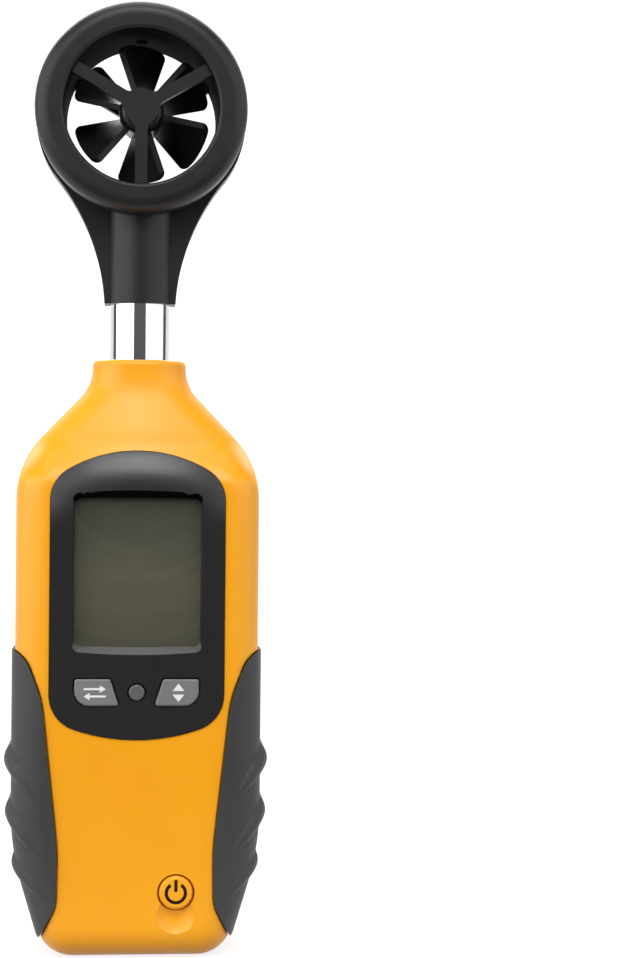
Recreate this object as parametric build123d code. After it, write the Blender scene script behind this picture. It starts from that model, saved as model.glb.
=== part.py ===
from build123d import *
import os
from math import cos, radians, sin, sqrt

# Handheld vane anemometer, in millimetres.
# +Z is up, the display faces -Y, +X is the right-hand side seen from the display.
# The origin is the middle of the flat foot that the meter stands on.

# ---------------------------------------------------------------- case
case_half_width = 26.8        # flanks of the case
case_front = 16.85            # display face, ahead of the parting plane
case_back = 16.85             # back face, behind the parting plane
case_height = 131.6           # foot to the rim of the collar
case_wall = 2.4
edge_radius = 7.0             # roll from the faces into the flanks and the foot
foot_half_width = 19.6        # where the tapered flanks would meet the foot
foot_radius = 8.0
taper_top = 24.0              # flanks draw in below this height
taper_radius = 60.0
shoulder_low = case_height - 23.1   # the shoulder slopes between these two heights
shoulder_high = case_height - 5.6
shoulder_radius = 20.0
collar_half_width = 10.4
collar_half_depth = 10.6
collar_radius = 10.0          # sweep from the shoulder into the collar
collar_floor = case_height - 9.4    # below this height the case is hollow
collar_rim_radius = 1.2
face_bend_low = case_height - 22.0  # the faces lean in to the collar above this
face_bend_radius = 40.0
face_bend_top_radius = 20.0
parting_reveal = 0.4          # shadow groove along the joint of the two halves
below_foot = -5.0             # cuts that open at the foot start here

# ---------------------------------------------------------------- grips
grip_proud = 0.7              # rubber stands out of the case by this much
grip_seat = 1.2               # depth of its pocket
grip_gap = 0.35               # shadow gap round the rubber
grip_high = 67.5              # upper and lower tips of the rubber
grip_low = 4.4
grip_waist_x = 17.0           # where the rubber reaches furthest over the faces
grip_waist_z = 24.0
grip_shoulder_x = 20.6        # the edge bends here on its way to the upper tip
grip_shoulder_z = 57.0
grip_toe_z = 12.0             # and turns outwards here to the lower tip
ridge_heights = (43.5, 32.0, 20.9)
ridge_reach = (1.5, 1.2, 0.6)  # how far each finger ridge stands out of the rubber
ridge_radius = 4.2
ridge_tip_radius = 0.35
ridge_drop = 9.5              # a ridge runs down by this much over the face
ridge_sections = 4
ridge_lean = 1.1

# ---------------------------------------------------------------- front panel
bezel_half_width = 19.0
bezel_low = 48.3
bezel_high = 111.3
bezel_arch_radius = 30.0      # curve of the top edge
bezel_sag_radius = 42.0       # curve of the bottom edge
bezel_corner_radius = 8.0
bezel_proud = 0.35
bezel_seat = 1.2
bezel_gap = 0.15
view_half_width = 13.8        # opening over the display, at the lens
view_low = 68.6
view_high = 100.9
view_corner_radius = 1.6
view_splay = 1.1              # the opening widens to the front by this above and below
view_side_splay = 0.35        # and by this at the sides
view_arch = 0.7               # rise of its arched top and bottom edges
lens_margin = 1.2             # the lens reaches this far behind the bezel
lens_gap = 0.1
lcd_margin = 2.0
lcd_thickness = 2.6
zebra_width = 2.0

# ---------------------------------------------------------------- keys
key_row = 58.6                # height of the three keys under the display
key_inner_top = 5.8
key_inner_low = 3.9
key_outer = 13.5
key_half_height = 2.9
key_corner_radius = 0.5
key_round_radius = 3.2
key_gap = 0.4
key_proud = 0.4               # above the bezel
key_flange = 0.9              # width of the flange that keeps a key in
key_flange_thickness = 0.9
key_travel = 0.8
key_edge = 0.3                # bevel round the crown of a key
key_rest_gap = 0.1
light_key_radius = 1.7
power_key_x = 8.9
power_key_z = 14.8
power_key_radius = 3.7
power_key_proud = 0.5
power_key_dome_radius = 0.8
dimple_radius = 7.0           # finger dimple below the power key
dimple_depth = 1.4
dimple_drop = 5.0

# ---------------------------------------------------------------- electronics
board_front = 9.6             # component face of the board, ahead of the parting plane
board_thickness = 1.6
board_half_width = 19.0
board_low = 11.0
board_high = case_height - 24.7
switch_gap = 0.2              # play left when a key is pressed home
mat_thickness = 0.8
mat_half_width = 16.5
mat_half_height = 4.4
dome_radius = 1.5
switch_size = 6.0
switch_height = 1.0
switch_below = 1.0            # the switch sits this much above the middle of its key
chip_size = 9.0
chip_height = 1.6

# ---------------------------------------------------------------- battery and its door
battery_width = 26.5          # 9 V block
battery_depth = 17.5
battery_length = 46.4
battery_edge_radius = 2.0
terminal_height = 2.1
terminal_spacing = 12.7
terminal_radius = 2.9
battery_low = 12.0
battery_play = 0.5
bay_wall = 1.3
door_half_width = 15.45
door_high = 66.9
door_thickness = 2.0
door_gap = 0.15
door_play = 0.1               # left behind the door's plate and over the battery
door_rail_drop = 2.0          # the rails end this far below the door's top edge
door_corner_radius = 1.3
door_tongue = 1.2             # rails of the door under the lips of the case
door_tongue_thickness = 0.9
door_lip = 1.15
door_pad_thickness = 0.2
snap_thickness = 3.0
snap_half_depth = 5.5
snap_inset = 1.0              # the snap is narrower than the battery by this at each side
lead_radius = 0.7
lead_spacing = 9.0
lead_play = 0.15

# ---------------------------------------------------------------- fasteners and insert
tripod_z = case_height - 41.0
insert_radius = 4.0
insert_bore_radius = 2.6      # quarter-inch camera thread, modelled plain
insert_length = 9.0
insert_wall = 2.0
insert_lead_in = 0.3
upper_screw_x = 7.6
upper_screw_z = case_height - 11.4
lower_screw_x = 9.0
lower_screw_z = 7.0
screw_radius = 1.1
screw_head_radius = 2.0
screw_head_height = 1.3
screw_recess_radius = 2.4
screw_recess_depth = 1.9
screw_bite = 6.0              # thread engaged in the front half
screw_head_edge = 0.35
foot_screw_rise = 1.5         # the lower recesses start this far behind the roll of the foot
boss_wall = 1.5

# ---------------------------------------------------------------- stem
tube_radius = 6.75
tube_wall = 1.0
stem_show = 12.8              # bare tube between the collar and the neck of the head
tube_seat = 8.2               # tube inside the collar
tube_hold = 11.2              # tube inside the neck
neck_low = case_height + stem_show
tube_low = case_height - tube_seat
tube_high = neck_low + tube_hold
clip_groove_low = tube_low + 1.4
clip_thickness = 1.0
clip_groove_depth = 0.4
clip_reach = 1.3
clip_play = 0.1
clip_mouth = 3.0
cable_radius = 0.9
plug_high = collar_floor - 6.8
plug_length = 6.0
plug_half_width = 3.6
plug_back = 1.0               # the plug reaches this far behind the cable
cable_throat = 1.5            # room round the cable where it enters the case

# ---------------------------------------------------------------- vane head
ring_z = neck_low + 42.9      # axis of the ring
ring_bore = 17.1
ring_radius = 23.5
ring_half_depth = 13.5
barrel_radius = 21.8
bead_inner = 5.5              # the beads begin this far from the parting plane
bead_front_radius = 3.2
bead_back_radius = 1.2
rim_radius = 0.8
core_inner = 18.6             # hollow inside the ring wall
core_outer = 20.4
core_depth = 11.6
spider_set_back = 1.3
arm_width = 2.7
arm_depth = 2.3
arm_angles = (30, 150, 270)
arm_root_radius = 1.6
hub_radius = 4.0
hub_depth = 3.0
neck_radius = 7.7
neck_wing_half_depth = 4.0
wing_foot_x = 7.95            # the wing's edge: foot, waist, shoulder, and top beside the ring
wing_waist_x = 10.35
wing_waist_z = neck_low + 12.6
wing_shoulder_x = 18.4
wing_shoulder_z = neck_low + 27.6
wing_bulge_x = 21.2
wing_bulge_z = neck_low + 31.9
wing_top_x = 23.2
wing_top_z = neck_low + 38.6
head_screw_x = 6.3
head_screw_z = neck_low + 14.7
head_screw_radius = 0.9
head_screw_head_radius = 1.75
head_screw_head_height = 1.1
head_screw_recess_radius = 2.2
head_screw_floor = 2.6        # recess floor, behind the parting plane
head_screw_bite = 2.8

# ---------------------------------------------------------------- impeller
blade_count = 6
blade_tip = 15.5
blade_half_depth = 4.0
blade_sweep = 38.0            # degrees that a blade turns over its depth
blade_skew = 1.3              # blade thickness measured round the axis
blade_corner_radius = 1.5
vane_hub_radius = 5.0
vane_hub_half_depth = 6.0
vane_hub_nose_radius = 1.5
shaft_radius = 0.75
shaft_gap = 0.05
shaft_half_length = 10.6
bearing_radius = 1.5
bearing_length = 2.2
magnet_radius = 3.4
magnet_depth = 2.0
sensor_half_width = 1.4
sensor_depth = 1.3
sensor_height = 1.4
ribbon_half_width = 0.5
ribbon_thickness = 0.5

# ---------------------------------------------------------------- labels
foil = 0.12
plate_half_width = 14.75
plate_half_height = 3.8
plate_z = 77.4
plate_corner_radius = 0.3
label_half_width = 13.25
label_low = 9.6
label_high = 63.4
label_corner_radius = 0.9
seal_radius = 4.8

reach = 200.0                 # longer than any cut has to be
sketch_front = Plane.XZ       # sketch x is +X, sketch y is +Z
sketch_side = Plane.YZ        # sketch x is +Y, sketch y is +Z


def rounded_face(corners):
    """Flat face through the corners (x, y, radius), each corner rounded by its radius."""
    face = make_face(Polyline(*[(x, y) for x, y, _ in corners], close=True))
    for x, y, radius in corners:
        if radius > 0:
            corner = face.vertices().sort_by_distance((x, y))[0]
            face = fillet(corner, radius)
    return face


def grown(face, amount):
    """The face with its outline moved outwards, or inwards if the amount is negative."""
    if amount == 0:
        return face
    return offset(face, amount, kind=Kind.INTERSECTION)


def block(x, y, z):
    """Box between the pairs of limits given along each axis."""
    size = [abs(high - low) for low, high in (x, y, z)]
    middle = [(low + high) / 2 for low, high in (x, y, z)]
    return Pos(*middle) * Box(*size)


def rod(x, z, radius, y_from, y_to):
    """Round bar along Y."""
    middle = Pos(x, (y_from + y_to) / 2, z)
    return middle * Rot(90, 0, 0) * Cylinder(radius, abs(y_to - y_from))


def post(radius, z_from, z_to):
    """Round bar along the axis of the stem."""
    return Pos(0, 0, (z_from + z_to) / 2) * Cylinder(radius, z_to - z_from)


def through(face):
    """The outline seen from the front, cut through everything along Y."""
    return extrude(sketch_front * face, amount=reach, both=True)


def ahead(face):
    """The outline seen from the front, ahead of the parting plane only."""
    return extrude(sketch_front * face, amount=reach)


def behind(face):
    """The outline seen from the front, behind the parting plane only."""
    return extrude(sketch_front * face, amount=-reach)


# ================================================================ case form
def case_outline():
    """Outline from the front: foot, flanks, shoulders and collar."""
    right = [
        (collar_half_width, case_height, 0),
        (collar_half_width, shoulder_high, collar_radius),
        (case_half_width, shoulder_low, shoulder_radius),
        (case_half_width, taper_top, taper_radius),
        (foot_half_width, 0, foot_radius),
    ]
    left = [(-x, z, radius) for x, z, radius in reversed(right)]
    return rounded_face(right + left)


def case_profile():
    """Outline from the side: flat faces that lean in to the collar."""
    back = [
        (collar_half_depth, case_height, 0),
        (collar_half_depth, shoulder_high, face_bend_top_radius),
        (case_back, face_bend_low, face_bend_radius),
        (case_back, 0, 0),
    ]
    front = [
        (-case_front, 0, 0),
        (-case_front, face_bend_low, face_bend_radius),
        (-collar_half_depth, shoulder_high, face_bend_top_radius),
        (-collar_half_depth, case_height, 0),
    ]
    return rounded_face(back + front)


def runs_along(edge, direction):
    """True for a straight edge parallel to the direction."""
    if edge.geom_type != GeomType.LINE:
        return False
    return abs(edge.tangent_at(0).dot(direction)) > 0.999


def case_form(inset):
    """Solid of the whole case, its skin moved inwards by the inset."""
    front_view = through(grown(case_outline(), -inset))
    side_view = extrude(sketch_side * grown(case_profile(), -inset), amount=reach, both=True)
    form = front_view & side_view
    across = Vector(1, 0, 0)
    along = Vector(0, 1, 0)
    rims = ShapeList()
    for edge in form.edges():
        at_foot = abs(edge.center().Z - inset) < 0.01
        seam = runs_along(edge, across) or runs_along(edge, along)
        if not seam or (at_foot and runs_along(edge, across)):
            rims.append(edge)
    form = fillet(rims, edge_radius - inset)
    if inset <= 0:
        rim = form.faces().sort_by(Axis.Z)[-1].edges()
        form = fillet(rim, collar_rim_radius)
    return form


outer_form = case_form(0)
inner_form = case_form(case_wall)


# ================================================================ grips
def grip_outline():
    """Seen from the front: a blade shape that covers the right-hand flank."""
    outside = case_half_width + edge_radius
    return rounded_face([
        (outside, grip_high + 2.0, 0),
        (case_half_width - 2.4, grip_high - 1.0, 6),
        (grip_shoulder_x, grip_shoulder_z, 25),
        (grip_waist_x, grip_waist_z, 60),
        (grip_waist_x + 0.2, grip_toe_z, 8),
        (grip_waist_x + 4.0, grip_low, 0),
        (outside, grip_low, 0),
    ])


def flank_at(z):
    """Half width of the case at a height on its flank."""
    share = min(z / taper_top, 1)
    return foot_half_width + share * (case_half_width - foot_half_width)


def ridge(height, stand_out):
    """Finger ridge: level along the flank, then down over each face to a point."""
    bend = edge_radius
    flank = flank_at(height) + grip_proud
    front_y = case_front + grip_proud - bend
    back_y = case_back + grip_proud - bend
    bar = rod(flank + stand_out - ridge_radius, height, ridge_radius, -front_y, back_y)
    for sign, centre_y in ((-1, front_y), (1, back_y)):
        sections = []
        for step in range(ridge_sections):
            share = step / (ridge_sections - 1)
            turn = radians(90 * share)
            radius = ridge_radius + share * (ridge_tip_radius - ridge_radius)
            sweep = bend + stand_out * (1 - share) ** 1.5 - radius
            low = height - ridge_drop * share ** 1.4
            centre_x = flank_at(low) + grip_proud - bend
            spot = (centre_x + sweep * cos(turn), sign * (centre_y + sweep * sin(turn)), low)
            heading = (-sin(turn), sign * cos(turn), -ridge_lean * share)
            sections.append(Plane(spot, z_dir=heading) * Circle(radius))
        bar += loft(sections)
    return bar


def grip(side):
    """Rubber grip of the right-hand (1) or left-hand (-1) flank."""
    rubber = case_form(-grip_proud)
    for height, stand_out in zip(ridge_heights, ridge_reach):
        rubber += ridge(height, stand_out)
    rubber = (rubber & through(grip_outline())) - case_form(grip_seat)
    if side < 0:
        rubber = mirror(rubber, Plane.YZ)
    return rubber


def grip_pockets():
    """What the grips take out of the case."""
    pocket = through(grown(grip_outline(), grip_gap)) & outer_form
    pocket -= case_form(grip_seat)
    return pocket + mirror(pocket, Plane.YZ)


# ================================================================ front panel
def bezel_outline():
    """Panel with arched top and bottom edges and large corners."""
    half = bezel_half_width
    rise = bezel_arch_radius - sqrt(bezel_arch_radius ** 2 - half ** 2)
    sag = bezel_sag_radius - sqrt(bezel_sag_radius ** 2 - half ** 2)
    top = ThreePointArc((-half, bezel_high - rise), (0, bezel_high), (half, bezel_high - rise))
    low = ThreePointArc((half, bezel_low + sag), (0, bezel_low), (-half, bezel_low + sag))
    right = Line((half, bezel_high - rise), (half, bezel_low + sag))
    left = Line((-half, bezel_low + sag), (-half, bezel_high - rise))
    face = make_face(top + right + low + left)
    return fillet(face.vertices(), bezel_corner_radius)


def view_outline(margin=0.0):
    """Opening over the display, or the outline of what lies behind it."""
    half = view_half_width + margin
    radius = view_corner_radius
    return rounded_face([
        (half, view_high + margin, radius),
        (half, view_low - margin, radius),
        (-half, view_low - margin, radius),
        (-half, view_high + margin, radius),
    ])


def splayed_outline(side, end, arch):
    """The opening widened at its sides and ends, its ends arched."""
    half = view_half_width + side
    high = view_high + end
    low = view_low - end
    top = ThreePointArc((-half, high), (0, high + arch), (half, high))
    bottom = ThreePointArc((half, low), (0, low - arch), (-half, low))
    right = Line((half, high), (half, low))
    left = Line((-half, low), (-half, high))
    face = make_face(top + right + bottom + left)
    return fillet(face.vertices(), view_corner_radius)


def view_cut():
    """The display opening: it slopes outwards from the lens to the front of the bezel."""
    front = case_front + bezel_proud
    at_lens = Plane.XZ.offset(panel_floor) * splayed_outline(0, 0, view_arch / 4)
    at_front = Plane.XZ.offset(front) * splayed_outline(view_side_splay, view_splay, view_arch)
    slope = loft([at_lens, at_front], ruled=True)
    return slope + extrude(at_front, amount=1)


def side_key_outline(side, growth=0.0):
    """Key that leans in under the round key, with one large outer corner."""
    top = key_row + key_half_height
    low = key_row - key_half_height
    face = rounded_face([
        (side * key_inner_top, top, key_corner_radius),
        (side * key_inner_low, low, key_corner_radius),
        (side * key_outer, low, key_round_radius),
        (side * key_outer, top, key_corner_radius),
    ])
    return grown(face, growth)


def round_outline(x, z, radius):
    return Pos(x, z) * Circle(radius)


def skin_between(face, outside, inside):
    """Slice of the case's skin under an outline on the display face."""
    return (ahead(face) & case_form(-outside)) - case_form(inside)


panel_floor = case_front - bezel_seat      # floor of the bezel's pocket
shell_inside = case_front - case_wall      # inner face of the front wall


def display_bezel():
    panel = skin_between(bezel_outline(), bezel_proud, bezel_seat)
    panel -= view_cut()
    for side in (-1, 1):
        panel -= ahead(side_key_outline(side, key_gap))
    panel -= ahead(round_outline(0, key_row, light_key_radius + key_gap))
    return panel


def display_window():
    lens = ahead(view_outline(lens_margin - lens_gap)) & case_form(bezel_seat)
    return lens & block((-reach, reach), (-panel_floor, -shell_inside), (0, reach))


lcd_back = shell_inside - lcd_thickness


def lcd_module():
    glass = ahead(view_outline(lcd_margin - lens_gap)) & inner_form
    return glass & block((-reach, reach), (-shell_inside, -lcd_back), (0, reach))


def lcd_connectors():
    """Two rubber contact strips between the display and the board."""
    half = view_half_width + lcd_margin - 1
    strips = ShapeList()
    for z in (view_low - lcd_margin + zebra_width, view_high + lcd_margin - zebra_width):
        ends = (z - zebra_width / 2, z + zebra_width / 2)
        strips.append(block((-half, half), (-lcd_back, -board_front), ends))
    return Compound(children=list(strips))


# ================================================================ keys
key_back = shell_inside - key_rest_gap - key_flange_thickness


def flanged_key(outline, flange_outline, front):
    """Key cap with the flange that holds it behind the front wall."""
    cap = ahead(outline) & block((-reach, reach), (-front, -key_back), (0, reach))
    flange_front = shell_inside - key_rest_gap
    flange = ahead(flange_outline) & block((-reach, reach), (-flange_front, -key_back), (0, reach))
    crown = cap.faces().sort_by(Axis.Y)[0].edges()
    return chamfer(crown, key_edge) + flange


def side_key(side):
    front = case_front + bezel_proud + key_proud
    return flanged_key(side_key_outline(side), side_key_outline(side, key_flange), front)


def light_key():
    front = case_front + bezel_proud + key_proud
    cap = round_outline(0, key_row, light_key_radius)
    flange = round_outline(0, key_row, light_key_radius + key_flange)
    return flanged_key(cap, flange, front)


def power_key():
    front = case_front + power_key_proud
    cap = rod(power_key_x, power_key_z, power_key_radius, -front, -key_back)
    crown = cap.faces().sort_by(Axis.Y)[0].edges()
    cap = fillet(crown, power_key_dome_radius)
    flange_front = shell_inside - key_rest_gap
    flange = rod(power_key_x, power_key_z, power_key_radius + key_flange, -flange_front, -key_back)
    return cap + flange


pad_top = key_back - key_travel - switch_gap   # front of the domes and switches


def keypad_mat():
    """Silicone mat with a dome behind each of the three keys."""
    mat = block(
        (-mat_half_width, mat_half_width),
        (-board_front - mat_thickness, -board_front),
        (key_row - mat_half_height, key_row + mat_half_height),
    )
    key_middle = (key_inner_low + key_outer) / 2
    for x in (-key_middle, 0, key_middle):
        mat += rod(x, key_row, dome_radius, -pad_top, -board_front)
    return mat


def power_switch():
    half = switch_size / 2
    body = block(
        (power_key_x - half, power_key_x + half),
        (-board_front - switch_height, -board_front),
        (power_key_z - half + switch_below, power_key_z + half),
    )
    return body + rod(power_key_x, power_key_z, dome_radius, -pad_top, -board_front)


def main_board():
    """Board behind the display, with the processor on its back."""
    back = board_front - board_thickness
    board = block((-board_half_width, board_half_width), (-board_front, -back), (board_low, board_high))
    board -= lead_bores()
    chip_z = (view_low + view_high) / 2
    chip = block(
        (-chip_size / 2, chip_size / 2),
        (-back, -back + chip_height),
        (chip_z - chip_size / 2, chip_z + chip_size / 2),
    )
    return board + chip


# ================================================================ battery bay
bay_back = case_back - door_thickness - door_play
battery_back = bay_back - door_pad_thickness
battery_front = battery_back - battery_depth
bay_half_width = battery_width / 2 + battery_play
bay_low = battery_low - battery_play
bay_high = door_high - door_rail_drop + door_gap
bay_front = battery_front - door_play / 2
bay_middle = (battery_front + battery_back) / 2
lead_z = battery_low + battery_length + terminal_height + snap_thickness / 2


def lead_bores():
    bores = ShapeList()
    for sign in (-1, 1):
        bores += [rod(sign * lead_spacing / 2, lead_z, lead_radius + lead_play, -board_front, bay_middle)]
    return Compound(children=list(bores))


def battery():
    """Nine-volt block with its two snap terminals on top."""
    block_face = RectangleRounded(battery_width, battery_depth, battery_edge_radius)
    cell = Pos(0, bay_middle, battery_low) * extrude(block_face, amount=battery_length)
    for sign in (-1, 1):
        stud = Pos(sign * terminal_spacing / 2, bay_middle, battery_low + battery_length + terminal_height / 2)
        cell += stud * Cylinder(terminal_radius, terminal_height)
    return cell


def battery_snap():
    """Snap connector that presses over the terminals."""
    low = battery_low + battery_length
    high = low + terminal_height + snap_thickness
    cap = block(
        (-battery_width / 2 + snap_inset, battery_width / 2 - snap_inset),
        (bay_middle - snap_half_depth, bay_middle + snap_half_depth),
        (low, high),
    )
    for sign in (-1, 1):
        stud = Pos(sign * terminal_spacing / 2, bay_middle, low + terminal_height / 2)
        cap -= stud * Cylinder(terminal_radius, terminal_height)
    cap -= lead_bores()
    return cap


def battery_leads():
    leads = []
    for sign in (-1, 1):
        leads.append(rod(sign * lead_spacing / 2, lead_z, lead_radius, -board_front, bay_middle - 0.5))
    return Compound(children=leads)


def battery_bay():
    """Open-backed box inside the rear half."""
    outside = block(
        (-bay_half_width - bay_wall, bay_half_width + bay_wall),
        (bay_front - bay_wall, bay_back),
        (bay_low - bay_wall, bay_high + bay_wall),
    )
    return outside


def bay_hollow():
    return block((-bay_half_width, bay_half_width), (bay_front, reach), (bay_low, bay_high))


def door_outline(growth=0.0):
    half = door_half_width + growth
    high = door_high + growth
    return rounded_face([
        (half, high, door_corner_radius),
        (half, below_foot, 0),
        (-half, below_foot, 0),
        (-half, high, door_corner_radius),
    ])


tongue_front = case_back - door_lip - door_gap - door_tongue_thickness
tongue_back = case_back - door_lip - door_gap
foot_edge = case_back - edge_radius        # where the back starts to roll into the foot


def door_space():
    """What the door and its rails need out of the rear half."""
    skin = behind(door_outline(0)) & block((-reach, reach), (bay_back, reach), (below_foot, reach))
    half = door_half_width + door_tongue + door_gap
    groove = (tongue_front - door_gap, tongue_back + door_gap)
    rails = block((-half, half), groove, (below_foot, door_high - door_rail_drop))
    roll = behind(door_outline(0)) & block((-reach, reach), (foot_edge, reach), (below_foot, edge_radius))
    roll -= case_form(door_thickness + door_play)
    return skin + rails + roll


def battery_door():
    """Sliding door: back plate, rails and the roll into the foot."""
    plate = (behind(door_outline(-door_gap)) & outer_form) - case_form(door_thickness)
    plate &= block((-reach, reach), (foot_edge + door_gap, reach), (below_foot, reach))
    half = door_half_width + door_tongue
    rail_top = door_high - door_rail_drop - door_gap
    rails = block((-half, half), (tongue_front, tongue_back), (edge_radius, rail_top))
    rails -= bay_hollow()
    return plate + rails


# ================================================================ bosses and screws
def back_surface(z):
    """How far the back face stands behind the parting plane at this height."""
    if z < face_bend_low:
        return case_back
    share = (z - face_bend_low) / (shoulder_high - face_bend_low)
    return case_back + share * (collar_half_depth - case_back)


def screw_sites():
    """Screw places as (x, z, face that the recess is sunk from)."""
    upper = back_surface(upper_screw_z)
    sites = []
    for sign in (-1, 1):
        sites.append((sign * upper_screw_x, upper_screw_z, upper))
        sites.append((sign * lower_screw_x, lower_screw_z, foot_edge + foot_screw_rise))
    return sites


def rear_bosses():
    bosses = None
    for x, z, face in screw_sites():
        boss = rod(x, z, screw_recess_radius + boss_wall, 0, face)
        bosses = boss if bosses is None else bosses + boss
    return bosses & outer_form


def front_bosses():
    bosses = None
    for x, z, _ in screw_sites():
        boss = rod(x, z, screw_radius + boss_wall, -case_front, 0)
        bosses = boss if bosses is None else bosses + boss
    return bosses & outer_form


def screw_recesses():
    cuts = ShapeList()
    for x, z, face in screw_sites():
        floor = face - screw_recess_depth - screw_head_height
        cuts.append(rod(x, z, screw_recess_radius, floor, case_back + edge_radius))
        cuts.append(rod(x, z, screw_radius, -screw_bite, floor))
    return cuts


def case_screw(x, z, face):
    """Pan-head screw with a cross recess left to the finish."""
    floor = face - screw_recess_depth - screw_head_height
    head = rod(x, z, screw_head_radius, floor, floor + screw_head_height)
    crown = head.faces().sort_by(Axis.Y)[-1].edges()
    head = chamfer(crown, screw_head_edge)
    return head + rod(x, z, screw_radius, -screw_bite, floor)


# ================================================================ case halves
def hollow_form():
    """Case with its cavity, closed at the collar."""
    cavity = inner_form & block((-reach, reach), (-reach, reach), (0, collar_floor))
    return outer_form - cavity


def stem_socket():
    """Seat of the stem in the collar, with the groove for its clip."""
    socket = post(tube_radius, tube_low, case_height + 5)
    groove = post(
        tube_radius + clip_reach + clip_play,
        clip_groove_low,
        clip_groove_low + clip_thickness,
    )
    return socket + groove + post(cable_radius + cable_throat, collar_floor - 1, tube_low + 1)


def front_case():
    half = hollow_form() & block((-reach, reach), (-reach, 0), (-reach, reach))
    half += front_bosses()
    half -= stem_socket()
    for cut in screw_recesses():
        half -= cut
    half -= grip_cut
    half -= skin_between(grown(bezel_outline(), bezel_gap), bezel_proud, bezel_seat)
    half -= ahead(view_outline(lens_margin))
    for side in (-1, 1):
        half -= ahead(side_key_outline(side, key_gap))
    half -= ahead(round_outline(0, key_row, light_key_radius + key_gap))
    half -= ahead(round_outline(power_key_x, power_key_z, power_key_radius + key_gap))
    dimple = Sphere(dimple_radius)
    half -= Pos(power_key_x, -case_front - dimple_radius + dimple_depth, power_key_z - dimple_drop) * dimple
    return half


def rear_case():
    half = hollow_form() & block((-reach, reach), (0, reach), (-reach, reach))
    half += rear_bosses()
    half += battery_bay()
    insert_floor = case_back - insert_length - insert_wall
    half += rod(0, tripod_z, insert_radius + insert_wall, insert_floor, case_back)
    half -= rod(0, tripod_z, insert_radius, case_back - insert_length, reach)
    half -= bay_hollow()
    half -= door_space()
    half -= lead_bores()
    half -= stem_socket()
    for cut in screw_recesses():
        half -= cut
    half -= grip_cut
    reveal = outer_form - case_form(parting_reveal)
    half -= reveal & block((-reach, reach), (0, parting_reveal), (edge_radius, case_height - 2))
    return half


def tripod_insert():
    """Brass insert with a plain bore in place of its thread."""
    body = rod(0, tripod_z, insert_radius, case_back - insert_length, case_back)
    body -= rod(0, tripod_z, insert_bore_radius, case_back - insert_length, case_back)
    mouth = body.faces().sort_by(Axis.Y)[-1].edges().sort_by(SortBy.RADIUS)[0]
    return chamfer(mouth, insert_lead_in)


# ================================================================ stem
def stem_tube():
    tube = post(tube_radius, tube_low, tube_high) - post(tube_radius - tube_wall, tube_low, tube_high)
    groove = post(tube_radius, clip_groove_low, clip_groove_low + clip_thickness)
    groove -= post(tube_radius - clip_groove_depth, clip_groove_low, clip_groove_low + clip_thickness)
    return tube - groove


def stem_clip():
    """Spring clip that keeps the stem in the collar."""
    top = clip_groove_low + clip_thickness
    ring = post(tube_radius + clip_reach, clip_groove_low, top)
    ring -= post(tube_radius - clip_groove_depth, clip_groove_low, top)
    return ring - block((-clip_mouth / 2, clip_mouth / 2), (0, reach), (0, reach))


def sensor_cable():
    return post(cable_radius, plug_high, ring_z - core_outer + ribbon_thickness)


def sensor_plug():
    """Plug and header between the cable and the board."""
    back = cable_radius + plug_back
    return block(
        (-plug_half_width, plug_half_width),
        (-board_front, back),
        (plug_high - plug_length, plug_high),
    ) - block((-reach, reach), (-reach, -board_front + board_thickness), (-reach, board_high))


# ================================================================ vane head
def ring_half():
    """Half of the ring behind the parting plane: barrel, bead and rim."""
    face = rounded_face([
        (ring_bore, 0, 0),
        (ring_bore, ring_half_depth, rim_radius),
        (ring_radius, ring_half_depth, bead_front_radius),
        (ring_radius, bead_inner, bead_back_radius),
        (barrel_radius, bead_inner, 0),
        (barrel_radius, 0, 0),
    ])
    return Pos(0, 0, ring_z) * revolve(face, Axis.Y)


def head_axis_rod(radius, y_from, y_to):
    return rod(0, ring_z, radius, y_from, y_to)


spider_face = ring_half_depth - spider_set_back
hub_inside = spider_face - hub_depth


def spider_half():
    """Three arms with rounded roots, and the hub disc that carries a bearing."""
    plan = Sketch() + Circle(hub_radius)
    arm_length = ring_bore + 0.8
    for angle in arm_angles:
        plan += Rot(0, 0, angle) * Pos(arm_length / 2, 0) * Rectangle(arm_length, arm_width)
    roots = [v for v in plan.vertices() if abs(Vector(v.X, v.Y, 0).length - hub_radius) < 0.05]
    plan = fillet(roots, arm_root_radius)
    arms = Pos(0, spider_face - arm_depth, 0) * extrude(sketch_front * plan, amount=-arm_depth)
    spider = arms + rod(0, 0, hub_radius, hub_inside, spider_face)
    return Pos(0, 0, ring_z) * spider


def wing_edge(side):
    """Edge of the wing from its foot to its top beside the ring, on one side."""
    foot = (side * wing_foot_x, neck_low)
    waist = (side * wing_waist_x, wing_waist_z)
    shoulder = (side * wing_shoulder_x, wing_shoulder_z)
    bulge = (side * wing_bulge_x, wing_bulge_z)
    top = (side * wing_top_x, wing_top_z)
    return ThreePointArc(foot, waist, shoulder) + ThreePointArc(shoulder, bulge, top)


def neck_half():
    """Wing that sweeps down from the ring, and the round neck over the stem."""
    foot = Line((-wing_foot_x, neck_low), (wing_foot_x, neck_low))
    top = Line((wing_top_x, wing_top_z), (-wing_top_x, wing_top_z))
    wing_face = make_face(wing_edge(1) + wing_edge(-1) + foot + top)
    wing = extrude(sketch_front * wing_face, amount=-neck_wing_half_depth)
    neck = post(neck_radius, neck_low, ring_z - ring_bore - 1)
    neck &= block((-reach, reach), (0, reach), (0, reach))
    return wing + neck


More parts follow.
